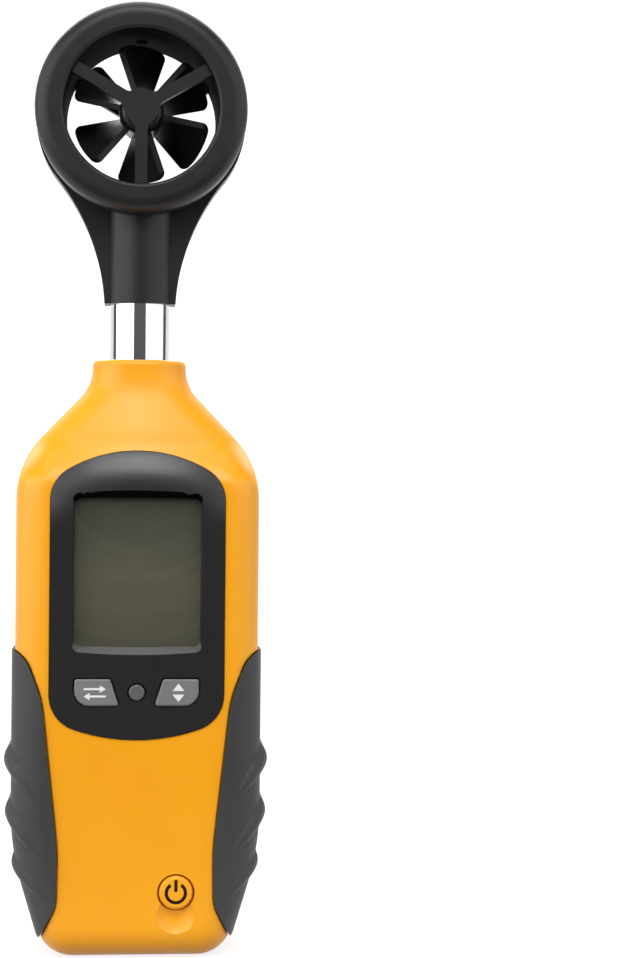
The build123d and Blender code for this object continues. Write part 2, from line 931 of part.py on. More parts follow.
def head_half():
    """Half shell behind the parting plane, without what differs front to back."""
    shell = ring_half() + neck_half()
    shell -= head_axis_rod(ring_bore, -1, ring_half_depth + 1)
    core = head_axis_rod(core_outer, -1, core_depth) - head_axis_rod(core_inner, -1, core_depth)
    shell -= core
    shell += spider_half()
    shell -= head_axis_rod(bearing_radius, hub_inside - 1, hub_inside + bearing_length)
    shell -= post(tube_radius, neck_low - 1, tube_high)
    shell -= post(cable_radius + 0.2, tube_high, ring_z - core_inner)
    return shell


sensor_top = ring_z - bearing_radius - 0.5
ribbon_front = hub_inside + sensor_depth + 0.1


def head_rear_shell():
    shell = head_half()
    for sign in (-1, 1):
        x = sign * head_screw_x
        shell -= rod(x, head_screw_z, head_screw_recess_radius, head_screw_floor, reach)
        shell -= rod(x, head_screw_z, head_screw_radius, -1, head_screw_floor)
    shell -= block(
        (-sensor_half_width - 0.1, sensor_half_width + 0.1),
        (hub_inside - 1, ribbon_front),
        (sensor_top - sensor_height - 0.1, sensor_top + 0.1),
    )
    channel_half = ribbon_half_width + 0.15
    shell -= block(
        (-channel_half, channel_half),
        (ribbon_front - 0.05, ribbon_front + ribbon_thickness + 0.15),
        (ring_z - core_outer, sensor_top),
    )
    tab = block((-1.2, 1.2), (1.5, 3.5), (ring_z + ring_bore - 0.6, ring_z + ring_bore + 0.6))
    return shell + tab


def head_front_shell():
    shell = mirror(head_half(), Plane.XZ)
    for sign in (-1, 1):
        shell -= rod(sign * head_screw_x, head_screw_z, head_screw_radius, -head_screw_bite, 1)
    return shell


def head_screws():
    screws = []
    for sign in (-1, 1):
        x = sign * head_screw_x
        top = head_screw_floor + head_screw_head_height
        head = rod(x, head_screw_z, head_screw_head_radius, head_screw_floor, top)
        head = chamfer(head.faces().sort_by(Axis.Y)[-1].edges(), screw_head_edge)
        shank = rod(x, head_screw_z, head_screw_radius, -head_screw_bite, head_screw_floor)
        screws.append(head + shank)
    return Compound(children=screws)


def hall_sensor():
    """Sensor chip in the rear hub, just behind the magnet."""
    return block(
        (-sensor_half_width, sensor_half_width),
        (ribbon_front - sensor_depth, ribbon_front),
        (sensor_top - sensor_height, sensor_top),
    )


def sensor_ribbon():
    """Lead from the sensor: inside the lower arm, then along the hollow of the ring."""
    low = ring_z - core_outer
    down = block(
        (-ribbon_half_width, ribbon_half_width),
        (ribbon_front, ribbon_front + ribbon_thickness),
        (low, sensor_top),
    )
    along = block(
        (-ribbon_half_width, ribbon_half_width),
        (cable_radius, ribbon_front + ribbon_thickness),
        (low, low + ribbon_thickness),
    )
    return (down + along) & head_axis_rod(core_outer, 0, reach)


def bearing(side):
    """Blind bush pressed into a hub disc."""
    bush = head_axis_rod(bearing_radius, hub_inside, hub_inside + bearing_length)
    bush -= head_axis_rod(shaft_radius + shaft_gap, hub_inside, shaft_half_length + 0.1)
    return bush if side > 0 else mirror(bush, Plane.XZ)


# ================================================================ impeller
def blade():
    """One helical blade along +X, its tip trimmed to rounded corners."""
    sections = []
    steps = 4
    root = vane_hub_radius - 0.6
    length = blade_tip + 1 - root
    for step in range(steps + 1):
        share = step / steps - 0.5
        depth = 2 * blade_half_depth * share
        plane = Plane((0, depth, 0), x_dir=(1, 0, 0), z_dir=(0, 1, 0))
        strip = Pos(root + length / 2, 0) * Rectangle(length, blade_skew)
        sections.append(plane * Rot(0, 0, blade_sweep * share) * strip)
    half = blade_half_depth
    swept = rounded_face([
        (0, half, 0),
        (blade_tip, half, blade_corner_radius),
        (blade_tip, -half, blade_corner_radius),
        (0, -half, 0),
    ])
    return loft(sections) & revolve(swept, Axis.Y)


def impeller():
    hub = rod(0, 0, vane_hub_radius, -vane_hub_half_depth, vane_hub_half_depth)
    hub = fillet(hub.faces().sort_by(Axis.Y)[0].edges(), vane_hub_nose_radius)
    first = blade()
    for index in range(blade_count):
        hub += Rot(0, 90 + 360 * index / blade_count, 0) * first
    hub -= rod(0, 0, shaft_radius, -reach, reach)
    return Pos(0, 0, ring_z) * hub


def impeller_shaft():
    return head_axis_rod(shaft_radius, -shaft_half_length, shaft_half_length)


def impeller_magnet():
    magnet = head_axis_rod(magnet_radius, vane_hub_half_depth, vane_hub_half_depth + magnet_depth)
    return magnet - head_axis_rod(shaft_radius, 0, reach)


# ================================================================ labels
def label(half_width, low, high, corner):
    face = rounded_face([
        (half_width, high, corner),
        (half_width, low, corner),
        (-half_width, low, corner),
        (-half_width, high, corner),
    ])
    return behind(face) & block((-reach, reach), (case_back, case_back + foil), (0, reach))


def inspection_seal():
    """Round foil over the second upper screw."""
    disc = behind(round_outline(-upper_screw_x, upper_screw_z, seal_radius))
    shell = case_form(-foil) - outer_form
    return disc & shell


# ================================================================ the nodes
def write(name, shape):
    export_step(shape, f"parts/{name}.step")


os.makedirs("parts", exist_ok=True)
grip_cut = grip_pockets()

write("front_case", front_case())
write("rear_case", rear_case())
write("right_grip", grip(1))
write("left_grip", grip(-1))
write("display_bezel", display_bezel())
write("display_window", display_window())
write("lcd_module", lcd_module())
write("lcd_connectors", lcd_connectors())
write("main_board", main_board())
write("keypad_mat", keypad_mat())
write("power_switch", power_switch())
write("units_key", side_key(-1))
write("max_min_key", side_key(1))
write("light_key", light_key())
write("power_key", power_key())

write("battery", battery())
write("battery_snap", battery_snap())
write("battery_leads", battery_leads())
write("battery_door", battery_door())
write("tripod_insert", tripod_insert())

sites = screw_sites()
sealed = [site for site in sites if site[0] > 0 and site[1] == upper_screw_z]
plain = [site for site in sites if site not in sealed]
write("sealed_screw", case_screw(*sealed[0]))
write("case_screws", Compound(children=[case_screw(*site) for site in plain]))

write("stem_tube", stem_tube())
write("stem_clip", stem_clip())
write("sensor_cable", sensor_cable())
write("sensor_plug", sensor_plug())

write("head_front_shell", head_front_shell())
write("head_rear_shell", head_rear_shell())
write("head_screws", head_screws())
write("hall_sensor", hall_sensor())
write("sensor_ribbon", sensor_ribbon())
write("front_bearing", bearing(-1))
write("rear_bearing", bearing(1))
write("impeller", impeller())
write("impeller_shaft", impeller_shaft())
write("impeller_magnet", impeller_magnet())

plate_low = plate_z - plate_half_height
plate_high = plate_z + plate_half_height
write("serial_plate", label(plate_half_width, plate_low, plate_high, plate_corner_radius))
write("door_label", label(label_half_width, label_low, label_high, label_corner_radius))
write("inspection_seal", inspection_seal())
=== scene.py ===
import math

import bmesh
import bpy
from mathutils import Matrix, Vector


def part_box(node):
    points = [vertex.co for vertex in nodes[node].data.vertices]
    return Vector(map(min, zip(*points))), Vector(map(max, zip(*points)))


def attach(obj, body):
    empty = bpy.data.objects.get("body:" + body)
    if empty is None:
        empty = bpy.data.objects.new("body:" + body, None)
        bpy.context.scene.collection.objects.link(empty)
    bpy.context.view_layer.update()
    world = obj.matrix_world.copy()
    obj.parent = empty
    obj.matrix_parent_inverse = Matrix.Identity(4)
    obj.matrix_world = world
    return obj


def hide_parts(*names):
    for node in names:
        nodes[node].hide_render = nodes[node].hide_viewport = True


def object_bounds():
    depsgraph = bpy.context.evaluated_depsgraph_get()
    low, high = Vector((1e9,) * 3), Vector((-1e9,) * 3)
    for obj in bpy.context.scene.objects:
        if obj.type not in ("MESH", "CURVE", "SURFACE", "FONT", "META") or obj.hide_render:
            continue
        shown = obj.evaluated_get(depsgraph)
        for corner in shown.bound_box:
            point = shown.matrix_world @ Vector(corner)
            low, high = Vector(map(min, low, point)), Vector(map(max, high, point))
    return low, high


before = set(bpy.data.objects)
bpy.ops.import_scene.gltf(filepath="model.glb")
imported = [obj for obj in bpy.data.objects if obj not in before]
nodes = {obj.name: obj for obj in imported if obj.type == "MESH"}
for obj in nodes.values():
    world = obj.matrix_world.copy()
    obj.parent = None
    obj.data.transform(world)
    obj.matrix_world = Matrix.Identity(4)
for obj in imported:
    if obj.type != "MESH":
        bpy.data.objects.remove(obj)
cad_box = [list(corner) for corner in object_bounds()]


# ---------------------------------------------------------------- case halves
# The two halves of the case are injection moulded in orange ABS with a fine spark-eroded
# grain. They close on the collar of the stem and are screwed together from the back.

def new_finish(name, **even):
    """Material on a Principled shader; values that are the same all over sit on its sockets."""
    material = bpy.data.materials.new(name)
    material.use_nodes = True
    shader = material.node_tree.nodes["Principled BSDF"]
    for socket, value in even.items():
        shader.inputs[socket.replace("_", " ")].default_value = value
    return material, shader


def surface_noise(material, size, detail=2.0, stretch=(1, 1, 1)):
    """Noise over the piece's own coordinates, its lumps about the given size in metres."""
    tree = material.node_tree
    where = tree.nodes.new("ShaderNodeTexCoord")
    spread = tree.nodes.new("ShaderNodeMapping")
    spread.inputs["Scale"].default_value = stretch
    noise = tree.nodes.new("ShaderNodeTexNoise")
    noise.inputs["Scale"].default_value = 1.0 / size
    noise.inputs["Detail"].default_value = detail
    tree.links.new(where.outputs["Object"], spread.inputs["Vector"])
    tree.links.new(spread.outputs["Vector"], noise.inputs["Vector"])
    return noise.outputs["Fac"]


def shade_between(material, shader, pattern, dark, light, low=0.3, high=0.7):
    """Base colour that drifts between two colours with the pattern."""
    tree = material.node_tree
    ramp = tree.nodes.new("ShaderNodeValToRGB")
    ramp.color_ramp.elements[0].position = low
    ramp.color_ramp.elements[0].color = (*dark, 1)
    ramp.color_ramp.elements[1].position = high
    ramp.color_ramp.elements[1].color = (*light, 1)
    tree.links.new(pattern, ramp.inputs["Fac"])
    tree.links.new(ramp.outputs["Color"], shader.inputs["Base Color"])


def polish_between(material, shader, pattern, smooth, rough):
    """Roughness that drifts between two values with the pattern."""
    tree = material.node_tree
    spread = tree.nodes.new("ShaderNodeMapRange")
    spread.inputs["To Min"].default_value = smooth
    spread.inputs["To Max"].default_value = rough
    tree.links.new(pattern, spread.inputs["Value"])
    tree.links.new(spread.outputs["Result"], shader.inputs["Roughness"])


def emboss(material, shader, pattern, height, strength=1.0):
    """Fine relief on the surface, its height in metres."""
    tree = material.node_tree
    bump = tree.nodes.new("ShaderNodeBump")
    bump.inputs["Strength"].default_value = strength
    bump.inputs["Distance"].default_value = height
    tree.links.new(pattern, bump.inputs["Height"])
    tree.links.new(bump.outputs["Normal"], shader.inputs["Normal"])


def moulded_plastic(name, dark, light, smooth, rough, grain_height, **even):
    """Moulded plastic: slight drift in colour and gloss, and a fine grain."""
    material, shader = new_finish(name, **even)
    shade_between(material, shader, surface_noise(material, 0.03), dark, light)
    polish_between(material, shader, surface_noise(material, 0.006), smooth, rough)
    emboss(material, shader, surface_noise(material, 0.00035, 3.0), grain_height, 0.35)
    return material


def dress(material, *names):
    """Give the CAD pieces a finish."""
    for name in names:
        slots = nodes[name].data.materials
        slots.clear()
        slots.append(material)


def ramp_between(tree, value, start, end, low, high, smooth=False):
    """Map a value from one span to another, held at both ends."""
    spread = tree.nodes.new("ShaderNodeMapRange")
    spread.interpolation_type = "SMOOTHSTEP" if smooth else "LINEAR"
    limits = {"From Min": start, "From Max": end, "To Min": low, "To Max": high}
    for socket, number in limits.items():
        spread.inputs[socket].default_value = number
    tree.links.new(value, spread.inputs["Value"])
    return spread.outputs["Result"]


def work_out(tree, operation, first, second=0):
    """One step of arithmetic on one or two values, either of which may be a plain number."""
    step = tree.nodes.new("ShaderNodeMath")
    step.operation = operation
    for socket, value in zip(step.inputs, (first, second)):
        if isinstance(value, (int, float)):
            socket.default_value = value
        else:
            tree.links.new(value, socket)
    return step.outputs["Value"]


def placed(tree):
    """X, Y and Z of the surface in the meter's own frame."""
    where = tree.nodes.new("ShaderNodeTexCoord")
    parts = tree.nodes.new("ShaderNodeSeparateXYZ")
    tree.links.new(where.outputs["Object"], parts.inputs["Vector"])
    return parts.outputs["X"], parts.outputs["Y"], parts.outputs["Z"]


def roll_back(material, height, depth):
    """Lay a broad crown, given as a pattern from 0 to 1, under the fine grain of a finish."""
    tree = material.node_tree
    grain = tree.nodes["Principled BSDF"].inputs["Normal"].links[0].from_node
    crown = tree.nodes.new("ShaderNodeBump")
    crown.inputs["Distance"].default_value = depth
    tree.links.new(work_out(tree, "MULTIPLY", height, -1.0), crown.inputs["Height"])
    tree.links.new(crown.outputs["Normal"], grain.inputs["Normal"])


orange = moulded_plastic(
    "orange_plastic", (0.93, 0.372, 0.0010), (0.96, 0.402, 0.002), 0.34, 0.42, 0.00003,
)
dress(orange, "front_case", "rear_case")

# The shoulders are slightly crowned from side to side, above the display. The crown rises
# like a hyperbola: round in the middle, and straight once it is past crown_half.
crown_half = 0.008
crown_depth = 0.0014
collar_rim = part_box("front_case")[1][2]
shoulder_start = collar_rim - 0.0276
shoulder_full = collar_rim - 0.0176
orange_tree = orange.node_tree
orange_across, _, orange_up = placed(orange_tree)
on_shoulder = ramp_between(orange_tree, orange_up, shoulder_start, shoulder_full, 0, 1, True)
side_way = work_out(orange_tree, "DIVIDE", orange_across, crown_half)
side_square = work_out(orange_tree, "MULTIPLY", side_way, side_way)
side_square = work_out(orange_tree, "ADD", side_square, 1.0)
side_height = work_out(orange_tree, "SQRT", side_square)
bulge = work_out(orange_tree, "MULTIPLY", side_height, on_shoulder)
roll_back(orange, bulge, crown_depth)


# ---------------------------------------------------------------- grips
# Soft black rubber over both flanks, pressed into pockets of the case with a shadow gap all
# round. The finger ridges are moulded in one piece with it.

rubber = moulded_plastic(
    "grip_rubber", (0.032, 0.032, 0.032), (0.040, 0.040, 0.040), 0.48, 0.58, 0.00005,
    Specular_IOR_Level=0.38,
)
dress(rubber, "left_grip", "right_grip")


# ---------------------------------------------------------------- display panel
# A charcoal frame of harder, glossier plastic holds a clear window. Behind it sits the
# reflective display, blank while the meter is off, with its two rubber contact strips.

def distance_from(tree, across, along, centre):
    """How far the surface is from a point that lies at 0 across and at the centre along."""
    past = work_out(tree, "SUBTRACT", along, centre)
    squares = [work_out(tree, "MULTIPLY", side, side) for side in (across, past)]
    return work_out(tree, "SQRT", work_out(tree, "ADD", *squares))


def second_finish(name, material, chosen):
    """Give the faces of a CAD piece that pass a test another finish."""
    data = nodes[name].data
    data.materials.append(material)
    for face in data.polygons:
        if chosen(face):
            face.material_index = len(data.materials) - 1


frame_low, frame_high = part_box("display_bezel")
arch_radius = 0.030
crown_width = 0.0115
crown_drop = 0.0020
crown_low = frame_high[2] - 0.020
crown_high = frame_high[2] - 0.010
frame_plastic = moulded_plastic(
    "frame_plastic", (0.0125, 0.012, 0.013), (0.0155, 0.015, 0.016), 0.27, 0.33, 0.00002,
)
dress(frame_plastic, "display_bezel")

# The frame is crowned along the arch of its upper edge, and rolls off to the rim.
frame_tree = frame_plastic.node_tree
frame_across, _, frame_up = placed(frame_tree)
reach = distance_from(frame_tree, frame_across, frame_up, frame_high[2] - arch_radius)
rim = ramp_between(frame_tree, reach, arch_radius - crown_width, arch_radius, 0, 1)
rim_square = work_out(frame_tree, "MULTIPLY", rim, rim)
upper = ramp_between(frame_tree, frame_up, crown_low, crown_high, 0, 1, True)
roll_back(frame_plastic, work_out(frame_tree, "MULTIPLY", rim_square, upper), crown_drop)

# The window's opening widens to the front. Its slope under the arch is matt and painted near black,
# as painted shadow, and the slope of its sill is painted a lighter grey, as painted light.
splay_painted_shadow = moulded_plastic(
    "splay_painted_shadow", (0.0005, 0.0005, 0.0005), (0.001, 0.001, 0.001), 0.8, 0.9, 0.00002,
    Specular_IOR_Level=0.05,
)
splay_painted_light = moulded_plastic(
    "splay_painted_light", (0.075, 0.070, 0.068), (0.10, 0.095, 0.09), 0.35, 0.45, 0.00002,
)
splay_start = frame_low[1] + 0.0002
splay_slope = 0.25
# Faces that look down take the painted shadow, faces that look up take the painted light.
for splay, way in ((splay_painted_shadow, -1), (splay_painted_light, 1)):
    second_finish(
        "display_bezel", splay,
        lambda face: face.center.y > splay_start and way * face.normal.z > splay_slope,
    )

clear, clear_shader = new_finish("clear_window", Alpha=0.16, IOR=1.45)
polish_between(clear, clear_shader, surface_noise(clear, 0.01), 0.02, 0.05)
shade_between(
    clear, clear_shader, surface_noise(clear, 0.02), (0.035, 0.036, 0.030), (0.045, 0.046, 0.038),
)
dress(clear, "display_window")


def display_film():
    """Grey-green reflective film, a little mottled; its darkening towards the upper edge is painted
    shade under the frame's arch.
    """
    material, shader = new_finish("display_film")
    tree = material.node_tree
    low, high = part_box("lcd_module")
    up = placed(tree)[2]
    mottle = ramp_between(tree, surface_noise(material, 0.0009, 4.0), 0.3, 0.7, -0.04, 0.04)
    cloud = ramp_between(tree, surface_noise(material, 0.012, 1.0), 0.3, 0.7, -0.06, 0.06)
    drift = work_out(tree, "ADD", mottle, cloud)
    # The change of tone with height is painted shade, darkest under the arch at the top.
    climb = work_out(tree, "ADD", ramp_between(tree, up, low[2], high[2], 0, 1), drift)
    ramp = tree.nodes.new("ShaderNodeValToRGB")
    stops = ramp.color_ramp.elements
    stops[0].color = (0.118, 0.116, 0.076, 1)
    stops[1].color = (0.050, 0.056, 0.042, 1)
    for height, colour in ((0.5, (0.158, 0.146, 0.100, 1)), (0.72, (0.112, 0.118, 0.080, 1))):
        stop = stops.new(height)
        stop.color = colour
    tree.links.new(climb, ramp.inputs["Fac"])
    tree.links.new(ramp.outputs["Color"], shader.inputs["Base Color"])
    polish_between(material, shader, surface_noise(material, 0.0009, 4.0), 0.32, 0.40)
    return material


dress(display_film(), "lcd_module")
contact_rubber = moulded_plastic(
    "contact_rubber", (0.03, 0.03, 0.03), (0.2, 0.2, 0.2), 0.6, 0.7, 0.00003,
)
dress(contact_rubber, "lcd_connectors")


# ---------------------------------------------------------------- keys
# The two shaped keys and the small round one between them are grey plastic caps that press
# silicone domes. Their legends are plain signs, printed in white.

key_plastic = moulded_plastic(
    "key_plastic", (0.17, 0.17, 0.18), (0.20, 0.20, 0.21), 0.38, 0.46, 0.00002,
)
dress(key_plastic, "units_key", "max_min_key")
small_key = moulded_plastic(
    "small_key_plastic", (0.10, 0.10, 0.105), (0.125, 0.125, 0.13), 0.3, 0.38, 0.00002,
)
dress(small_key, "light_key")
silicone = moulded_plastic(
    "silicone", (0.30, 0.30, 0.31), (0.36, 0.36, 0.37), 0.5, 0.6, 0.00002,
)
dress(silicone, "keypad_mat")


def settle(name, mesh, material, body):
    """Turn a bmesh into a piece that rides a body of the meter."""
    data = bpy.data.meshes.new(name)
    mesh.to_mesh(data)
    mesh.free()
    data.materials.append(material)
    piece = bpy.data.objects.new(name, data)
    bpy.context.collection.objects.link(piece)
    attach(piece, body)
    return piece


def flat_sign(name, outlines, face, thickness, material, body):
    """Printed sign: flat outlines in X and Z, given a thickness along Y from the face."""
    mesh = bmesh.new()
    for outline in outlines:
        mesh.faces.new([mesh.verts.new((x, face, z)) for x, z in outline])
    lifted = bmesh.ops.extrude_face_region(mesh, geom=mesh.faces[:])["geom"]
    raised = [part for part in lifted if isinstance(part, bmesh.types.BMVert)]
    bmesh.ops.translate(mesh, verts=raised, vec=(0, thickness, 0))
    bmesh.ops.recalc_face_normals(mesh, faces=mesh.faces[:])
    settle(name, mesh, material, body)


def arrow(x, z, length, head, wing, bar):
    """Outline of an arrow that starts at x and points along +X (or -X for a negative length)."""
    neck = x + length - math.copysign(head, length)
    return [
        (x, z - bar), (neck, z - bar), (neck, z - wing), (x + length, z),
        (neck, z + wing), (neck, z + bar), (x, z + bar),
    ]


print_white = moulded_plastic(
    "white_print", (0.78, 0.78, 0.78), (0.84, 0.84, 0.84), 0.45, 0.55, 0.000005,
)
ink = 0.00002

units_low, units_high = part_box("units_key")
units_x = (units_low[0] + units_high[0]) / 2 - 0.0003
units_z = (units_low[2] + units_high[2]) / 2
arrow_length = 0.0048
arrow_head = 0.0013
arrow_apart = 0.0016
flat_sign(
    "units_sign",
    [arrow(units_x - way * arrow_length / 2, units_z + way * arrow_apart / 2, way * arrow_length,
           arrow_head, arrow_head * 0.62, 0.00022) for way in (1, -1)],
    units_low[1], -ink, print_white, "units_button",
)

limit_low, limit_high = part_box("max_min_key")
limit_x = (limit_low[0] + limit_high[0]) / 2 + 0.0003
limit_z = (limit_low[2] + limit_high[2]) / 2
peak_half = 0.0013
peak_foot = 0.0004
peak_top = 0.0020
flat_sign(
    "max_min_sign",
    [[(limit_x - way * peak_half, limit_z + way * peak_foot),
      (limit_x + way * peak_half, limit_z + way * peak_foot),
      (limit_x, limit_z + way * peak_top)] for way in (1, -1)],
    limit_low[1], -ink, print_white, "max_min_button",
)


# ---------------------------------------------------------------- power key
# The power key is a domed cap of the same orange plastic, with the usual sign for standby
# pad-printed on it in dark brown ink.

dress(orange, "power_key")
brown_ink = moulded_plastic(
    "brown_print", (0.016, 0.0015, 0.0025), (0.024, 0.002, 0.004), 0.55, 0.65, 0.000005,
    Specular_IOR_Level=0.15,
)
power_low, power_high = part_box("power_key")
power_x = (power_low[0] + power_high[0]) / 2
power_z = (power_low[2] + power_high[2]) / 2
sign_radius = 0.00208
sign_line = 0.00072
sign_front = power_low[1]
bar_length = 0.0026
bar_up = 0.0016
opening = math.radians(33)

# The ring is one stroke of ink, spun about the sign's middle from one side of the opening to
# the other; the bar stands in the opening.
power_sign = bmesh.new()
stroke = [
    power_sign.verts.new((power_x, sign_front + deep, power_z + sign_radius + across))
    for deep, across in ((ink, -sign_line / 2), (-ink, -sign_line / 2),
                         (-ink, sign_line / 2), (ink, sign_line / 2))
]
stroke_face = power_sign.faces.new(stroke)
bmesh.ops.rotate(
    power_sign, verts=stroke, cent=(power_x, 0, power_z), matrix=Matrix.Rotation(opening, 3, "Y"),
)
bmesh.ops.spin(
    power_sign, geom=[stroke_face, *stroke, *stroke_face.edges], cent=(power_x, 0, power_z),
    axis=(0, 1, 0), angle=2 * math.pi - 2 * opening, steps=40,
)
bar = bmesh.ops.create_cube(power_sign, size=1)["verts"]
bmesh.ops.scale(power_sign, verts=bar, vec=(sign_line, 2 * ink, bar_length))
bmesh.ops.translate(power_sign, verts=bar, vec=(power_x, sign_front, power_z + bar_up))
bmesh.ops.recalc_face_normals(power_sign, faces=power_sign.faces[:])
settle("power_sign", power_sign, brown_ink, "power_button")


# ---------------------------------------------------------------- electronics
# A green fibreglass board carries the processor and the tactile switch of the power key.
# The plug of the vane's cable stands on its upper end.

board_green = moulded_plastic(
    "board_green", (0.010, 0.085, 0.030), (0.014, 0.115, 0.042), 0.3, 0.4, 0.00002,
)
dress(board_green, "main_board")
black_moulding = moulded_plastic(
    "black_moulding", (0.020, 0.020, 0.021), (0.028, 0.028, 0.029), 0.4, 0.5, 0.00003,
)
dress(black_moulding, "power_switch", "hall_sensor", "battery_snap")
pale_moulding = moulded_plastic(
    "pale_moulding", (0.62, 0.60, 0.54), (0.70, 0.68, 0.62), 0.4, 0.5, 0.00002,
)
dress(pale_moulding, "sensor_plug")


# ---------------------------------------------------------------- battery
# A 9 V block in a printed steel can stands in its bay behind the sliding door. The snap
# connector presses over its two terminals.

can, can_shader = new_finish("battery_can", Metallic=0.6)
shade_between(can, can_shader, surface_noise(can, 0.02), (0.035, 0.037, 0.045), (0.06, 0.062, 0.07))
polish_between(can, can_shader, surface_noise(can, 0.004), 0.25, 0.35)
dress(can, "battery")
wire_skin = moulded_plastic(
    "wire_skin", (0.02, 0.02, 0.02), (0.03, 0.03, 0.03), 0.45, 0.55, 0.00002,
)
dress(wire_skin, "battery_leads", "sensor_cable", "sensor_ribbon")
dress(orange, "battery_door")


# ---------------------------------------------------------------- foil labels
# Silvered polyester foil, die cut with small corners: a label on the battery door, a narrow
# one above it, and a round seal over the second upper screw. The last two are left bare.

def silver_foil(name, dark, light, smooth, rough, metallic=0.75):
    """Brushed foil, its fine lines running from side to side."""
    material, shader = new_finish(name, Metallic=metallic)
    shade_between(material, shader, surface_noise(material, 0.02, 1.0, (1, 1, 0.35)), dark, light)
    lines = surface_noise(material, 0.0006, 3.0, (0.05, 1, 1))
    polish_between(material, shader, lines, smooth, rough)
    emboss(material, shader, surface_noise(material, 0.0005, 2.0, (0.04, 1, 1)), 0.00001, 0.25)
    return material


label_foil = silver_foil("label_foil", (0.40, 0.44, 0.50), (0.48, 0.52, 0.57), 0.38, 0.5)
dress(label_foil, "door_label", "serial_plate")
seal_foil = silver_foil("seal_foil", (0.26, 0.30, 0.16), (0.36, 0.39, 0.24), 0.42, 0.52, 0.35)
dress(seal_foil, "inspection_seal")

# A plain battery sign with its two poles is printed low down on the door's label.
navy_ink = moulded_plastic(
    "navy_print", (0.020, 0.022, 0.045), (0.030, 0.033, 0.060), 0.5, 0.6, 0.000005,
)
label_low, label_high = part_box("door_label")
cell_right = label_high[0] - 0.0012
cell_left = cell_right - 0.0054
cell_foot = label_low[2] + 0.0088
cell_top = cell_foot + 0.0029
cell_line = 0.00024
pole_height = 0.0006
pole_width = 0.0010
pole_inset = 0.0008
pole_off = pole_inset + pole_width / 2
cell_ink = 0.00003
sign_arm = 0.0010
sign_inset = 0.0014


def print_bar(x, z, width, height):
    """Outline of a bar about its middle."""
    return [
        (x - width / 2, z - height / 2), (x + width / 2, z - height / 2),
        (x + width / 2, z + height / 2), (x - width / 2, z + height / 2),
    ]


cell_middle = (cell_foot + cell_top) / 2
cell_centre = (cell_left + cell_right) / 2
cell_width = cell_right - cell_left
cell_height = cell_top - cell_foot
cell_side = cell_height - 2 * cell_line
flat_sign("cell_outline", [
    print_bar(cell_centre, cell_foot + cell_line / 2, cell_width, cell_line),
    print_bar(cell_centre, cell_top - cell_line / 2, cell_width, cell_line),
    print_bar(cell_left + cell_line / 2, cell_middle, cell_line, cell_side),
    print_bar(cell_right - cell_line / 2, cell_middle, cell_line, cell_side),
    print_bar(cell_left + pole_off, cell_top + pole_height / 2, pole_width, pole_height),
    print_bar(cell_right - pole_off, cell_top + pole_height / 2, pole_width, pole_height),
], label_high[1], cell_ink, navy_ink, "door_body")
plus_x = cell_right - sign_inset
minus_x = cell_left + sign_inset
plus_arm = (sign_arm - cell_line) / 2
plus_off = (cell_line + plus_arm) / 2
flat_sign("cell_poles", [
    print_bar(plus_x, cell_middle, sign_arm, cell_line),
    print_bar(plus_x, cell_middle + plus_off, cell_line, plus_arm),
    print_bar(plus_x, cell_middle - plus_off, cell_line, plus_arm),
    print_bar(minus_x, cell_middle, sign_arm, cell_line),
], label_high[1], cell_ink, navy_ink, "door_body")


# ---------------------------------------------------------------- tripod insert and screws
# A turned brass insert takes a camera screw. Pan-head steel screws hold the case; one of
# the upper two is locked with a blob of red lacquer.

def metal(name, dark, light, smooth, rough):
    """Machined or plated metal: slight drift in colour and gloss, and faint tool marks."""
    material, shader = new_finish(name, Metallic=1.0)
    shade_between(material, shader, surface_noise(material, 0.004), dark, light)
    polish_between(material, shader, surface_noise(material, 0.0008, 3.0), smooth, rough)
    emboss(material, shader, surface_noise(material, 0.0004), 0.000006, 0.3)
    return material


brass = metal("brass", (0.66, 0.45, 0.17), (0.80, 0.60, 0.30), 0.18, 0.28)
dress(brass, "front_bearing", "rear_bearing")


def turned(profile, x, z, steps):
    """Round piece turned about a line along Y: its profile is a chain of radius and Y."""
    mesh = bmesh.new()
    chain = [mesh.verts.new((x + radius, deep, z)) for radius, deep in profile]
    edges = [mesh.edges.new(pair) for pair in zip(chain, chain[1:])]
    bmesh.ops.spin(
        mesh, geom=chain + edges, cent=(x, 0, z), axis=(0, 1, 0), angle=2 * math.pi,
        steps=steps, use_merge=True,
    )
    bmesh.ops.remove_doubles(mesh, verts=mesh.verts[:], dist=0.000001)
    bmesh.ops.recalc_face_normals(mesh, faces=mesh.faces[:])
    return mesh


insert_low, insert_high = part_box("tripod_insert")
insert_up = (insert_low[2] + insert_high[2]) / 2
insert_outer = insert_high[0]
thread_crest = 0.0026
thread_root = 0.0031
thread_pitch = 0.00127
thread_floor = insert_low[1] + 0.0003
bore_mouth = 0.0033
mouth_depth = 0.0005
rim_bevel = 0.0003
rim_front = insert_high[1]
bore_rows = 56
bore_step = (rim_front - mouth_depth - thread_floor) / bore_rows
bore_line = [(thread_crest, thread_floor + row * bore_step) for row in range(bore_rows + 1)]
insert_profile = [
    (0, thread_floor - 0.0002), (0.0012, thread_floor - 0.0001), *bore_line,
    (bore_mouth, rim_front), (insert_outer - rim_bevel, rim_front),
    (insert_outer, rim_front - rim_bevel), (insert_outer, insert_low[1]), (0, insert_low[1]),
]

# The bore is turned plain, and then each of its points is pushed out to the depth that the
# helix has there.
thread_end = rim_front - mouth_depth - 0.0001
threaded = turned(insert_profile, 0, insert_up, 48)
for point in threaded.verts:
    out = Vector((point.co.x, 0, point.co.z - insert_up))
    in_bore = abs(out.length - thread_crest) < 0.00002
    if in_bore and thread_floor < point.co.y < thread_end:
        turns = point.co.y / thread_pitch + math.atan2(out.z, out.x) / (2 * math.pi)
        cut = abs(turns % 1 - 0.5) * 2 * (thread_root - thread_crest)
        point.co += out.normalized() * cut
insert_piece = settle("threaded_insert", threaded, brass, "meter")

